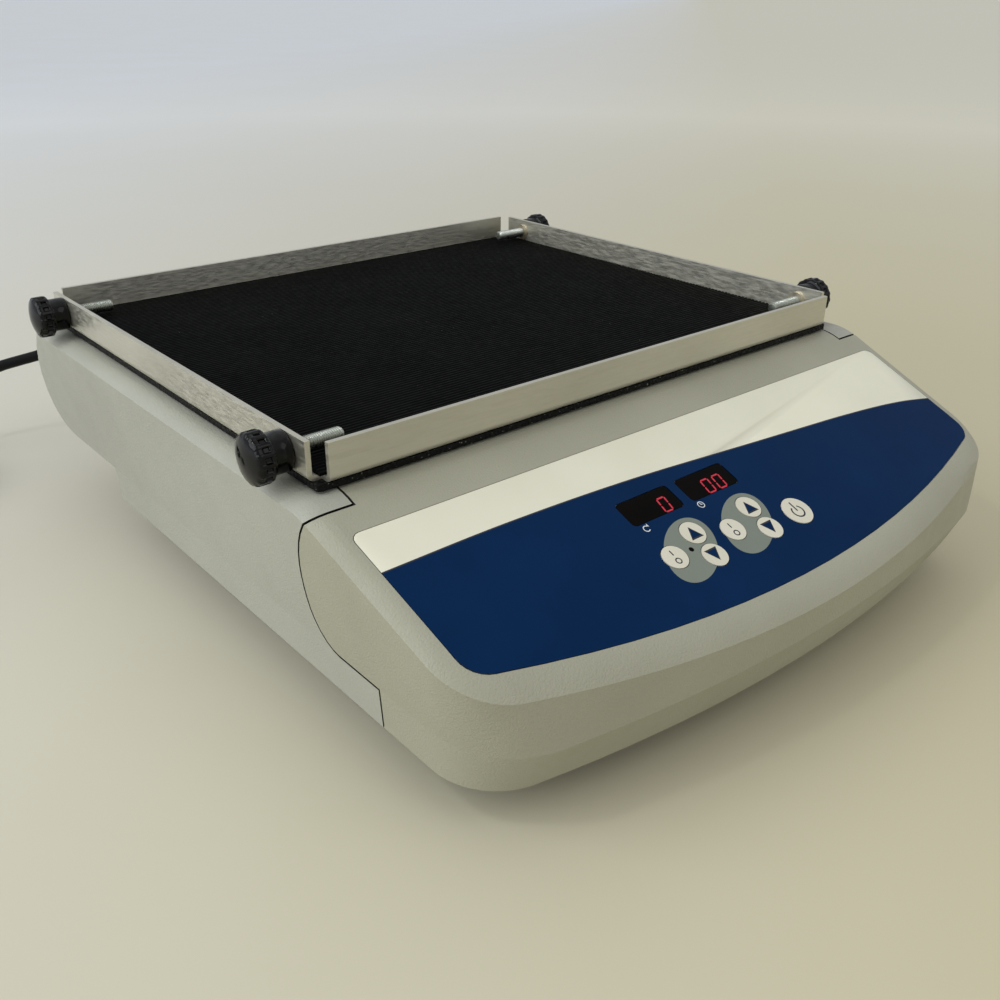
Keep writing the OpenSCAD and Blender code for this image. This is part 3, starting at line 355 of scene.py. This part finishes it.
def shaded(obj, finish, chosen):
    """Gives the faces that chosen(centre, normal) picks another finish."""
    obj.data.materials.append(FINISH[finish])
    for face in obj.data.polygons:
        if chosen(face.center / MM, face.normal):
            face.material_index = 1


def dressed(node, edge=0.0, segments=2, angle=32, *, crease=None):
    """A CAD node's copy with softened edges and even shading, which stands for it.

    Edges at the crease's height stay sharp.
    """
    obj = copied(node, node + "_skin", CADS[node]["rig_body"], FINISH_OF[node])
    if edge:
        merged(obj.data, EXACTLY_FLAT)
        soft = obj.modifiers.new("edges", "BEVEL")
        soft.width = edge
        soft.segments = segments
        soft.limit_method = "ANGLE"
        soft.angle_limit = math.radians(angle)
        soft.use_clamp_overlap = True
        baked(obj)
    smoothed(obj, angle)
    if crease:
        for line in obj.data.edges:
            heights = [obj.data.vertices[v].co.z for v in line.vertices]
            line.use_edge_sharp |= all(abs(z - crease) < 0.2 * MM for z in heights)
    if edge:
        even = obj.modifiers.new("normals", "WEIGHTED_NORMAL")
        even.keep_sharp = True
        baked(obj)
    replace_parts(obj, node)
    return obj


# The sloping panel's frame, in millimetres: across, up the slope and out of it
SLOPE = math.radians(22)
CUT_LOW, CUT_HIGH = -0.2, 2
PANEL_AT = (5, -97.9, 107.6)
PANEL = (Matrix.Translation(Vector(PANEL_AT) * MM) @ Matrix.Rotation(SLOPE, 4, "X")
         @ Matrix.Scale(MM, 4))


def slab(outline, low, high, bm=None):
    """Adds a flat plate with this outline to a bmesh."""
    bm = bm or bmesh.new()
    verts = [bm.verts.new((x, y, low)) for x, y in outline]
    face = bm.faces.new(verts)
    face.normal_update()
    if face.normal.z < 0:
        face.normal_flip()
    grown = bmesh.ops.extrude_face_region(bm, geom=[face])
    for v in grown["geom"]:
        if isinstance(v, bmesh.types.BMVert):
            v.co.z = high
    bmesh.ops.recalc_face_normals(bm, faces=bm.faces)
    return bm


def curve_through(points, steps=8):
    """A smooth line through the points."""
    ends = [tuple(2 * a - b for a, b in zip(points[0], points[1])),
            tuple(2 * a - b for a, b in zip(points[-1], points[-2]))]
    run = [ends[0], *points, ends[1]]
    line = []
    for i in range(1, len(run) - 2):
        for k in range(steps):
            t = k / steps
            line.append(tuple(0.5 * (2 * b + (c - a) * t + (2 * a - 5 * b + 4 * c - d) * t * t
                                     + (3 * b - a - 3 * c + d) * t ** 3)
                              for a, b, c, d in zip(*run[i - 1:i + 3])))
    return line + [tuple(points[-1])]


def ellipse(u, v, across, along, tilt, steps=72):
    """An oval about a panel point, its long axis turned up by tilt degrees."""
    c, s = math.cos(math.radians(tilt)), math.sin(math.radians(tilt))
    angles = [2 * math.pi * i / steps for i in range(steps)]
    ring = [(across * math.cos(a), along * math.sin(a)) for a in angles]
    return [(u + x * c - y * s, -v + x * s + y * c) for x, y in ring]


def film(name, outline, lift, finish):
    """A printed layer: the part of the overlay inside the outline, lifted out of the panel."""
    layer = copied("keypad_overlay", name, "housing", finish)
    tool = piece(name + "_tool", slab(outline, CUT_LOW, CUT_HIGH), None, None, PANEL)
    cut = layer.modifiers.new("cut", "BOOLEAN")
    cut.operation = "INTERSECT"
    cut.solver = "EXACT"
    cut.object = tool
    baked(layer)
    merged(layer.data)
    layer.data.shade_flat()
    layer.data.transform(Matrix.Translation(PANEL.to_3x3() @ Vector((0, 0, lift))))
    layer.data.materials.clear()
    layer.data.materials.append(FINISH[finish])
    bpy.data.objects.remove(tool)


# Where the ivory band meets the blue field, across and down the slope
BAND_EDGE = [(-176, 41.0), (-109, 40.6), (-40, 43.2), (40, 49.5), (103, 54.5), (145, 59.7), (176, 67.0)]
OVALS = [(-46.5, 84.7), (-10.3, 84.7)]
OVAL_ACROSS, OVAL_ALONG, OVAL_TILT = 18.9, 11.6, 37.4
FIELD_HW, FIELD_END = 190, -140
FIRST_LAYER, SECOND_LAYER = 0.03, 0.05


def make_overlay():
    edge = [(u, -v) for u, v in curve_through(BAND_EDGE)]
    film("overlay_blue", edge + [(FIELD_HW, FIELD_END), (-FIELD_HW, FIELD_END)], FIRST_LAYER, "blue")
    line = [(u, v + 0.3) for u, v in edge] + [(u, v - 0.35) for u, v in reversed(edge)]
    film("overlay_line", line, SECOND_LAYER, "line")
    for i, (u, v) in enumerate(OVALS):
        oval = ellipse(u, v, OVAL_ACROSS, OVAL_ALONG, OVAL_TILT)
        film(f"overlay_oval_{i + 1}", oval, SECOND_LAYER, "oval")
    sheet = dressed("keypad_overlay")
    out = (PANEL.to_3x3() @ Vector((0, 0, 1))).normalized()
    shaded(sheet, "line", lambda at, normal: abs(normal.dot(out)) < 0.5)


# Keys, their marks, the windows and the digits
KEY_TOP, SUNK, UNDERLAY = 0.25, 0.01, 0.025
KEYS = {"key_speed_up": (-39, 78.3), "key_speed_down": (-39, 91.5), "key_speed_onoff": (-56.6, 84.8),
        "key_time_up": (-2.4, 78.3), "key_time_down": (-2.4, 91.5), "key_time_onoff": (-20, 84.8),
        "key_power": (18.7, 90)}


def triangle(u, v, size, sign):
    """An arrowhead about a panel point, up the slope for sign 1."""
    half = size / 2
    rise = sign * half * 0.94
    return [(u - half, -v - rise), (u + half, -v - rise), (u, -v + rise)]


def ring_part(u, v, radius, width, first, last, steps=36):
    """A ring about a panel point, or a part of one from first to last degrees."""
    angles = [math.radians(first + (last - first) * i / steps) for i in range(steps + 1)]
    outer, inner = radius + width / 2, radius - width / 2
    return ([(u + outer * math.cos(a), -v + outer * math.sin(a)) for a in angles]
            + [(u + inner * math.cos(a), -v + inner * math.sin(a)) for a in reversed(angles)])


def bar(u, v, across, along):
    """A straight stroke about a panel point."""
    w, h = across / 2, along / 2
    return [(u + x, -v + y) for x, y in ((-w, -h), (w, -h), (w, h), (-w, h))]


def printed_marks(name, outlines, low, body, finish, height=0.03):
    """Thin printed shapes on the panel, as one piece."""
    bm = bmesh.new()
    for outline in outlines:
        slab(outline, low, low + height, bm)
    return piece(name, bm, body, finish, PANEL)


def make_keys():
    for node, (u, v) in KEYS.items():
        key = dressed(node, 0.00018, 2)
        body = CADS[node]["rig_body"]
        top = KEY_TOP - SUNK
        if node.endswith(("up", "down")):
            sign = 1 if node.endswith("up") else -1
            printed_marks(node + "_rim", [triangle(u, v, 7.0, sign)], top, body, "mark")
            arrow = [triangle(u, v + 0.1 * sign, 5.0, sign)]
            printed_marks(node + "_arrow", arrow, top + UNDERLAY, body, "blue")
        elif node.endswith("onoff"):
            marks = [bar(u, v - 2.2, 0.6, 2.7), ring_part(u, v + 2.2, 1.3, 0.55, 0, 359.9)]
            printed_marks(node + "_mark", marks, top, body, "mark")
        else:
            marks = [ring_part(u, v + 0.5, 3.1, 0.75, 124, 416), bar(u, v - 2.5, 0.75, 5.4)]
            printed_marks(node + "_mark", marks, top, body, "mark")


def segments(u, v, wide, tall, stroke, slant=8):
    """The outline strokes of a lit nought, on a seven-segment grid, slanted."""
    gap = 0.12
    lean = math.tan(math.radians(slant))
    w, h, s = wide / 2 - stroke / 2, tall / 2 - stroke / 2, stroke / 2

    def run(x0, y0, x1, y1):
        dx, dy = (1, 0) if y0 == y1 else (0, 1)
        x0, y0, x1, y1 = x0 + gap * dx, y0 + gap * dy, x1 - gap * dx, y1 - gap * dy
        along, skew = s * (dx + dy), s * (dx - dy)
        shape = [(x0, y0), (x0 + along, y0 + along), (x1 - skew, y1 + skew),
                 (x1, y1), (x1 - along, y1 - along), (x0 + skew, y0 - skew)]
        return [(u + x + y * lean, -v + y) for x, y in shape]

    return [run(-w, h, w, h), run(-w, -h, w, -h), run(-w, 0, -w, h),
            run(w, 0, w, h), run(-w, -h, -w, 0), run(w, -h, w, 0)]


WINDOW_TOP = -0.1
DIGIT_V, DIGIT_WIDE, DIGIT_TALL, DIGIT_STROKE = 60.6, 5.2, 8.2, 0.8
SIGN_V, SPEED_SIGN_U, TIME_SIGN_U, SIGN_LOW = 67.8, -56.6, -22.6, 0.02


def make_displays():
    for node in ("speed_window", "time_window"):
        dressed(node, 0.0002, 2)
    noughts = {"speed_digits": [-38.3], "time_digits": [-10.1, -2.7]}
    for name, places in noughts.items():
        strokes = [line for u in places
                   for line in segments(u, DIGIT_V, DIGIT_WIDE, DIGIT_TALL, DIGIT_STROKE)]
        printed_marks(name, strokes, WINDOW_TOP - SUNK, "housing", "lit", 0.025)
    u, v = SPEED_SIGN_U, SIGN_V
    head = [(u + 2, 0.4 - v), (u + 0.9, 1.1 - v), (u + 1.7, 2.3 - v)]
    turning = [ring_part(u, v, 1.45, 0.45, 40, 320), head]
    printed_marks("speed_sign", turning, SIGN_LOW, "housing", "pale")
    u = TIME_SIGN_U
    clock = [ring_part(u, v, 1.6, 0.42, 0, 359.9), bar(u, v - 0.5, 0.4, 1.3), bar(u + 0.4, v, 1.0, 0.4)]
    printed_marks("time_sign", clock, SIGN_LOW, "housing", "pale")


# Revolved pieces about a clamp's axis
TRAY_W, TRAY_Y, RAIL_Z = 330.2, 42.6, 128.2
STUD_Y, STUD_DROP = 118, 8.2


def clamp_place(side, end):
    """From a clamp's own frame, outward along Z in millimetres, to the part's."""
    at = Vector((side * TRAY_W / 2, TRAY_Y + end * STUD_Y, RAIL_Z - STUD_DROP)) * MM
    return Matrix.Translation(at) @ Matrix.Rotation(math.radians(90 * side), 4, "Y") @ Matrix.Scale(MM, 4)


def revolved(rows, steps, radius):
    """A grid turned about Z. rows are (z, r) and radius(z, r, angle) shapes each point."""
    bm = bmesh.new()
    rings = []
    for z, r in rows:
        if r <= 0:
            rings.append([bm.verts.new((0, 0, z))])
            continue
        ring = []
        for i in range(steps):
            a = 2 * math.pi * i / steps
            rr = radius(z, r, a)
            ring.append(bm.verts.new((rr * math.cos(a), rr * math.sin(a), z)))
        rings.append(ring)
    for low, high in zip(rings, rings[1:]):
        for i in range(steps):
            j = (i + 1) % steps
            corners = [low[i % len(low)], low[j % len(low)], high[j % len(high)], high[i % len(high)]]
            bm.faces.new(list(dict.fromkeys(corners)))
    bmesh.ops.recalc_face_normals(bm, faces=bm.faces)
    return bm


def ease(x, low, high):
    """From 0 at low to 1 at high, level at both ends."""
    t = min(1, max(0, (x - low) / (high - low)))
    return t * t * (3 - 2 * t)


POCKETS, POCKET_DEPTH, POCKET_END_DEPTH = 16, 1.15, 0.3
HUB_R, HUB_L, KNOB_R, KNOB_L = 8.5, 8, 10.75, 18


def knob_rows():
    """The knob's outline as (height, radius), from its hub to its domed end."""
    rows = [(0.3, 0), (0.3, HUB_R - 0.8), (0.5, HUB_R - 0.25), (1.0, HUB_R), (4, HUB_R),
            (HUB_L - 0.5, HUB_R), (HUB_L, HUB_R + 0.3), (HUB_L + 0.25, KNOB_R - 2),
            (HUB_L + 0.6, KNOB_R - 0.9), (HUB_L + 1.2, KNOB_R - 0.2), (HUB_L + 1.8, KNOB_R)]
    band = [HUB_L + 1.9 + i * 0.28 for i in range(46)]
    rows += [(z, KNOB_R) for z in band if z < KNOB_L - 3.9]
    rows += [(KNOB_L - 3.6, KNOB_R), (KNOB_L - 3.0, KNOB_R - 0.1), (KNOB_L - 2.5, KNOB_R - 0.45),
             (KNOB_L - 2.1, KNOB_R - 1.0), (KNOB_L - 1.8, KNOB_R - 1.6)]
    rim = KNOB_R - 1.6
    for i in range(1, 11):
        t = i / 10
        rows.append((KNOB_L - 1.8 * (1 - t) ** 2 - 0.02, rim * (1 - t)))
    return rows


def knob_radius(z, r, angle):
    """Shallow pockets around the knob, with eased walls."""
    turn = (angle / (2 * math.pi) * POCKETS) % 1
    pocket = ease(turn, 0.22, 0.32) * (1 - ease(turn, 0.78, 0.88))
    band = ease(z, HUB_L + 2.1, HUB_L + 2.8) * (1 - ease(z, KNOB_L - 5.2, KNOB_L - 4.5))
    edge = ease(z, HUB_L + 0.5, HUB_L + 1.5) * (1 - ease(z, KNOB_L - 2.4, KNOB_L - 1.6))
    return r - POCKET_DEPTH * pocket * band - POCKET_END_DEPTH * pocket * edge * (1 - band)


THREAD, THREAD_STEPS, THREAD_ROWS, THREAD_DEPTH, CHAMFER = 1.0, 9, 200, 0.45, 0.75
STUD_R, STUD_IN, SHEET = 3.175, 23, 2.3


def stud_radius(z, r, angle):
    """A helical thread, one turn for each step of THREAD."""
    phase = (z / THREAD - angle / (2 * math.pi)) % 1
    crest = abs(2 * phase - 1)
    return min(r, STUD_R - THREAD_DEPTH * (1 - ease(crest, 0.1, 0.85)))


def make_clamps():
    for side, across in ((-1, "left"), (1, "right")):
        for end, along in ((-1, "front"), (1, "back")):
            corner = f"{along}_{across}"
            place = clamp_place(side, end)
            knob = piece(f"knob_{corner}_fluted", revolved(knob_rows(), POCKETS * 14, knob_radius),
                         f"knob_{corner}", "knob", place)
            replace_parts(smoothed(knob, 50), f"knob_{corner}")
            first = -SHEET - STUD_IN
            rows = [(first, 0), (first, STUD_R - 0.95), (first + 0.05, STUD_R - CHAMFER)]
            for i in range(THREAD_ROWS):
                run = THREAD / THREAD_STEPS * i
                rows.append((first + 0.1 + run, STUD_R - CHAMFER + min(CHAMFER, run)))
            rows += [(rows[-1][0] + 0.1, 0)]
            stud = piece(f"stud_{corner}_threaded", revolved(rows, 40, stud_radius), f"stud_{corner}",
                         "stud", place)
            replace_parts(smoothed(stud, 70), f"stud_{corner}")


# The lead, its route repeated from the solids, in millimetres
LEAD_D = 7
ROUTE = [(-107, 259, 68), (-107, 267, 68), (-109, 276, 67), (-114, 285, 64.8), (-123, 292, 62),
         (-135, 296, 59), (-148, 299, 56), (-160, 302, 54), (-172, 305, 51.5), (-184, 308, 46),
         (-195, 310, 39.5), (-204, 311, 33), (-213, 312, 26), (-221.5, 312, 19.5), (-229.5, 312, 13.5),
         (-237.5, 312, 8.8), (-247, 312, 6), (-256, 312, 4.8)]
TAIL = [(-314, 236.2, 11.6), (-314, 230, 11.9), (-314, 224, 12.2), (-314, 218, 12.5), (-314, 212, 12.5)]
COIL_AT, COIL_LOW, COIL_R, COIL_STEP = (-265, 263), 4.5, 49, 7.1
# Turn of the coil in degrees, and how many steps in and how many up the lead lies there
WOUND = [(0, 0, 0), (300, 0, 0), (360, 1, 0), (660, 1, 0), (720, 2, 0), (960, 2, 0),
         (1020, 2, 1), (1260, 2, 1), (1320, 1, 1), (1560, 1, 1), (1620, 0, 1), (1890, 0, 1)]


def coil_points():
    """The middle of the lead around its coil."""
    points = []
    for turn in range(0, WOUND[-1][0] + 1, 10):
        k = max(i for i, w in enumerate(WOUND[:-1]) if w[0] <= turn)
        t = ease(turn, WOUND[k][0], WOUND[k + 1][0])
        inward = WOUND[k][1] + (WOUND[k + 1][1] - WOUND[k][1]) * t
        up = WOUND[k][2] + (WOUND[k + 1][2] - WOUND[k][2]) * t
        a = math.radians(90 + turn)
        r = COIL_R - COIL_STEP * inward
        points.append((COIL_AT[0] + r * math.cos(a), COIL_AT[1] + r * math.sin(a),
                       COIL_LOW + COIL_STEP * up))
    return points


def make_lead():
    line = curve_through(ROUTE + coil_points() + TAIL, 3)
    data = bpy.data.curves.new("lead_flex", "CURVE")
    data.dimensions = "3D"
    data.bevel_depth = LEAD_D / 2 * MM
    data.bevel_resolution = 5
    data.use_fill_caps = True
    run = data.splines.new("POLY")
    run.points.add(len(line) - 1)
    for point, at in zip(run.points, line):
        point.co = (*(c * MM for c in at), 1)
    run.use_smooth = True
    flex = bpy.data.objects.new("lead_flex", data)
    bpy.context.scene.collection.objects.link(flex)
    data.materials.append(FINISH["lead"])
    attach(flex, "housing")
    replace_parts(flex, "lead_cord", "lead_coil", "lead_tail")
    plug = dressed("lead_plug", 0.0006, 3)
    connector = dressed("lead_connector", 0.0006, 3)


# The joint between the two mouldings, repeated from the solids, in millimetres
SEAM_Y, SLIT_Y, CREASE_Z, ROOF_Z = -88, -132.5, 40.2, 107.6
BODY_X, TONGUE_HW, TONGUE_Y = 5, 158.7, -64
SEAM_LOW_RY, SEAM_LOW_RZ, SEAM_TOP_R, SEAM_TOP_END, HALF_GAP = 16, 21, 53, 56, 0.5
SKIRT_Z, SLIT_END, SLIT_DEPTH, SHADED_TO = 20, -120, 12, 0.75


def arc(y, z, ry, rz, first, last, steps=24):
    """Points of a round corner seen from the side."""
    angles = [math.radians(first + (last - first) * i / steps) for i in range(steps + 1)]
    return [(y + ry * math.cos(a), z + rz * math.sin(a)) for a in angles]


def off_line(p, line):
    """Distance from a point to a run of straight lines."""
    best = math.inf
    for a, b in zip(line, line[1:]):
        dx, dy = b[0] - a[0], b[1] - a[1]
        t = min(1, max(0, ((p[0] - a[0]) * dx + (p[1] - a[1]) * dy) / (dx * dx + dy * dy)))
        best = min(best, math.dist(p, (a[0] + dx * t, a[1] + dy * t)))
    return best


def make_housing():
    """Both mouldings, with the walls of the gap between them in shade."""
    g = HALF_GAP
    side = ([(SLIT_Y + g, SKIRT_Z), (SLIT_Y + g, CREASE_Z - g)]
            + arc(SEAM_Y - SEAM_LOW_RY, CREASE_Z + SEAM_LOW_RZ, SEAM_LOW_RY + g, SEAM_LOW_RZ + g, -90, 0)
            + arc(SEAM_Y - SEAM_TOP_R, CREASE_Z + SEAM_LOW_RZ + 4, SEAM_TOP_R + g, SEAM_TOP_R + g,
                  0, SEAM_TOP_END))
    left, right, back = BODY_X - TONGUE_HW - g, BODY_X + TONGUE_HW + g, TONGUE_Y + g
    top = [(left, SLIT_END), (left, back), (right, back), (right, SLIT_END)]

    def in_joint(at, _):
        if at.z > ROOF_Z - SLIT_DEPTH and off_line((at.x, at.y), top) < SHADED_TO:
            return True
        return off_line((at.y, at.z), side) < SHADED_TO and abs(at.x - BODY_X) > TONGUE_HW

    for node, slot in (("rear_housing", "housing"), ("front_console", "console")):
        shaded(dressed(node, 0.0007, 3, 36, crease=CREASE_Z * MM), "seam", in_joint)


# Floor and light
FLOOR_HW = 80


def make_floor():
    """A plain pale floor, paler to the back, that stays pale far away."""
    f = Finish("floor", rough=0.6)
    back = f.add("VectorMath", operation="DOT_PRODUCT")
    f.plug(back.inputs[0], f.place)
    back.inputs[1].default_value = (-0.5, 0.6, 0)
    cream, pale, wall = srgb(203, 195, 162), srgb(209, 205, 190), srgb(214, 218, 222)
    depth = f.between(back.outputs["Value"], -0.2, 1.4, 0.0, 1.0)
    tone = f.ramp(depth, (0.0, cream), (0.28, pale), (1.0, wall))
    uneven = f.between(f.noise(3, 3), 0.3, 0.7, 0.0, 0.12)
    f.set(Base_Color=f.mix(uneven, tone, srgb(198, 192, 172)))
    path = f.add("LightPath")
    seen = path.outputs["Is Camera Ray"]
    for kind in ("Is Glossy Ray", "Is Transmission Ray"):
        seen = f.add("Math", operation="MAXIMUM", Value=seen).outputs[0]
        f.plug(seen.node.inputs[1], path.outputs[kind])
    lift = f.add("Math", operation="MULTIPLY", Value=seen).outputs[0]
    away = f.add("VectorMath", operation="LENGTH")
    f.plug(away.inputs[0], f.place)
    f.plug(lift.node.inputs[1], f.between(away.outputs["Value"], 0.5, 2.2, 0.0, 0.28))
    f.set(Emission_Color=wall, Emission_Strength=lift)
    f.relief(f.noise(180, 2), 0.00005, 0.2)
    bm = bmesh.new()
    bmesh.ops.create_grid(bm, x_segments=8, y_segments=8, size=FLOOR_HW)
    floor = piece("floor", bm, None)
    floor.data.materials.append(f.material)


def area_light(name, at, target, size, power, colour):
    data = bpy.data.lights.new(name, "AREA")
    data.shape = "DISK"
    data.size = size
    data.energy = power
    data.color = colour
    lamp = bpy.data.objects.new(name, data)
    bpy.context.scene.collection.objects.link(lamp)
    lamp.location = at
    lamp.rotation_euler = (Vector(target) - Vector(at)).to_track_quat("-Z", "Y").to_euler()


def make_light():
    world = bpy.data.worlds.new("soft room")
    bpy.context.scene.world = world
    world.use_nodes = True
    sky = world.node_tree.nodes["Background"]
    sky.inputs["Color"].default_value = (0.93, 0.96, 1.0, 1)
    sky.inputs["Strength"].default_value = 0.56
    area_light("key", (-1.7, 0.45, 1.0), (-0.1, 0, 0.05), 2.0, 23, (0.93, 0.97, 1.0))
    area_light("front", (0.25, -1.5, 1.6), (0, 0, 0.05), 1.8, 7, (1.0, 0.98, 0.92))
    area_light("glint", (-1.1, 0.1, 1.5), (-0.1, 0, 0.05), 0.15, 2, (1.0, 1.0, 1.0))
    area_light("top", (0.3, 0.6, 1.9), (0, 0, 0.05), 2.4, 3, (1.0, 0.98, 0.92))
    bpy.context.scene.view_settings.view_transform = "Standard"


make_camera()
make_lead()
make_overlay()
make_keys()
make_displays()
make_clamps()
make_housing()
dressed("tray", 0.00045, 3)
dressed("platform_plate", 0.0004, 2)
dressed("mat", angle=20)
dressed("feet")
make_floor()
make_light()
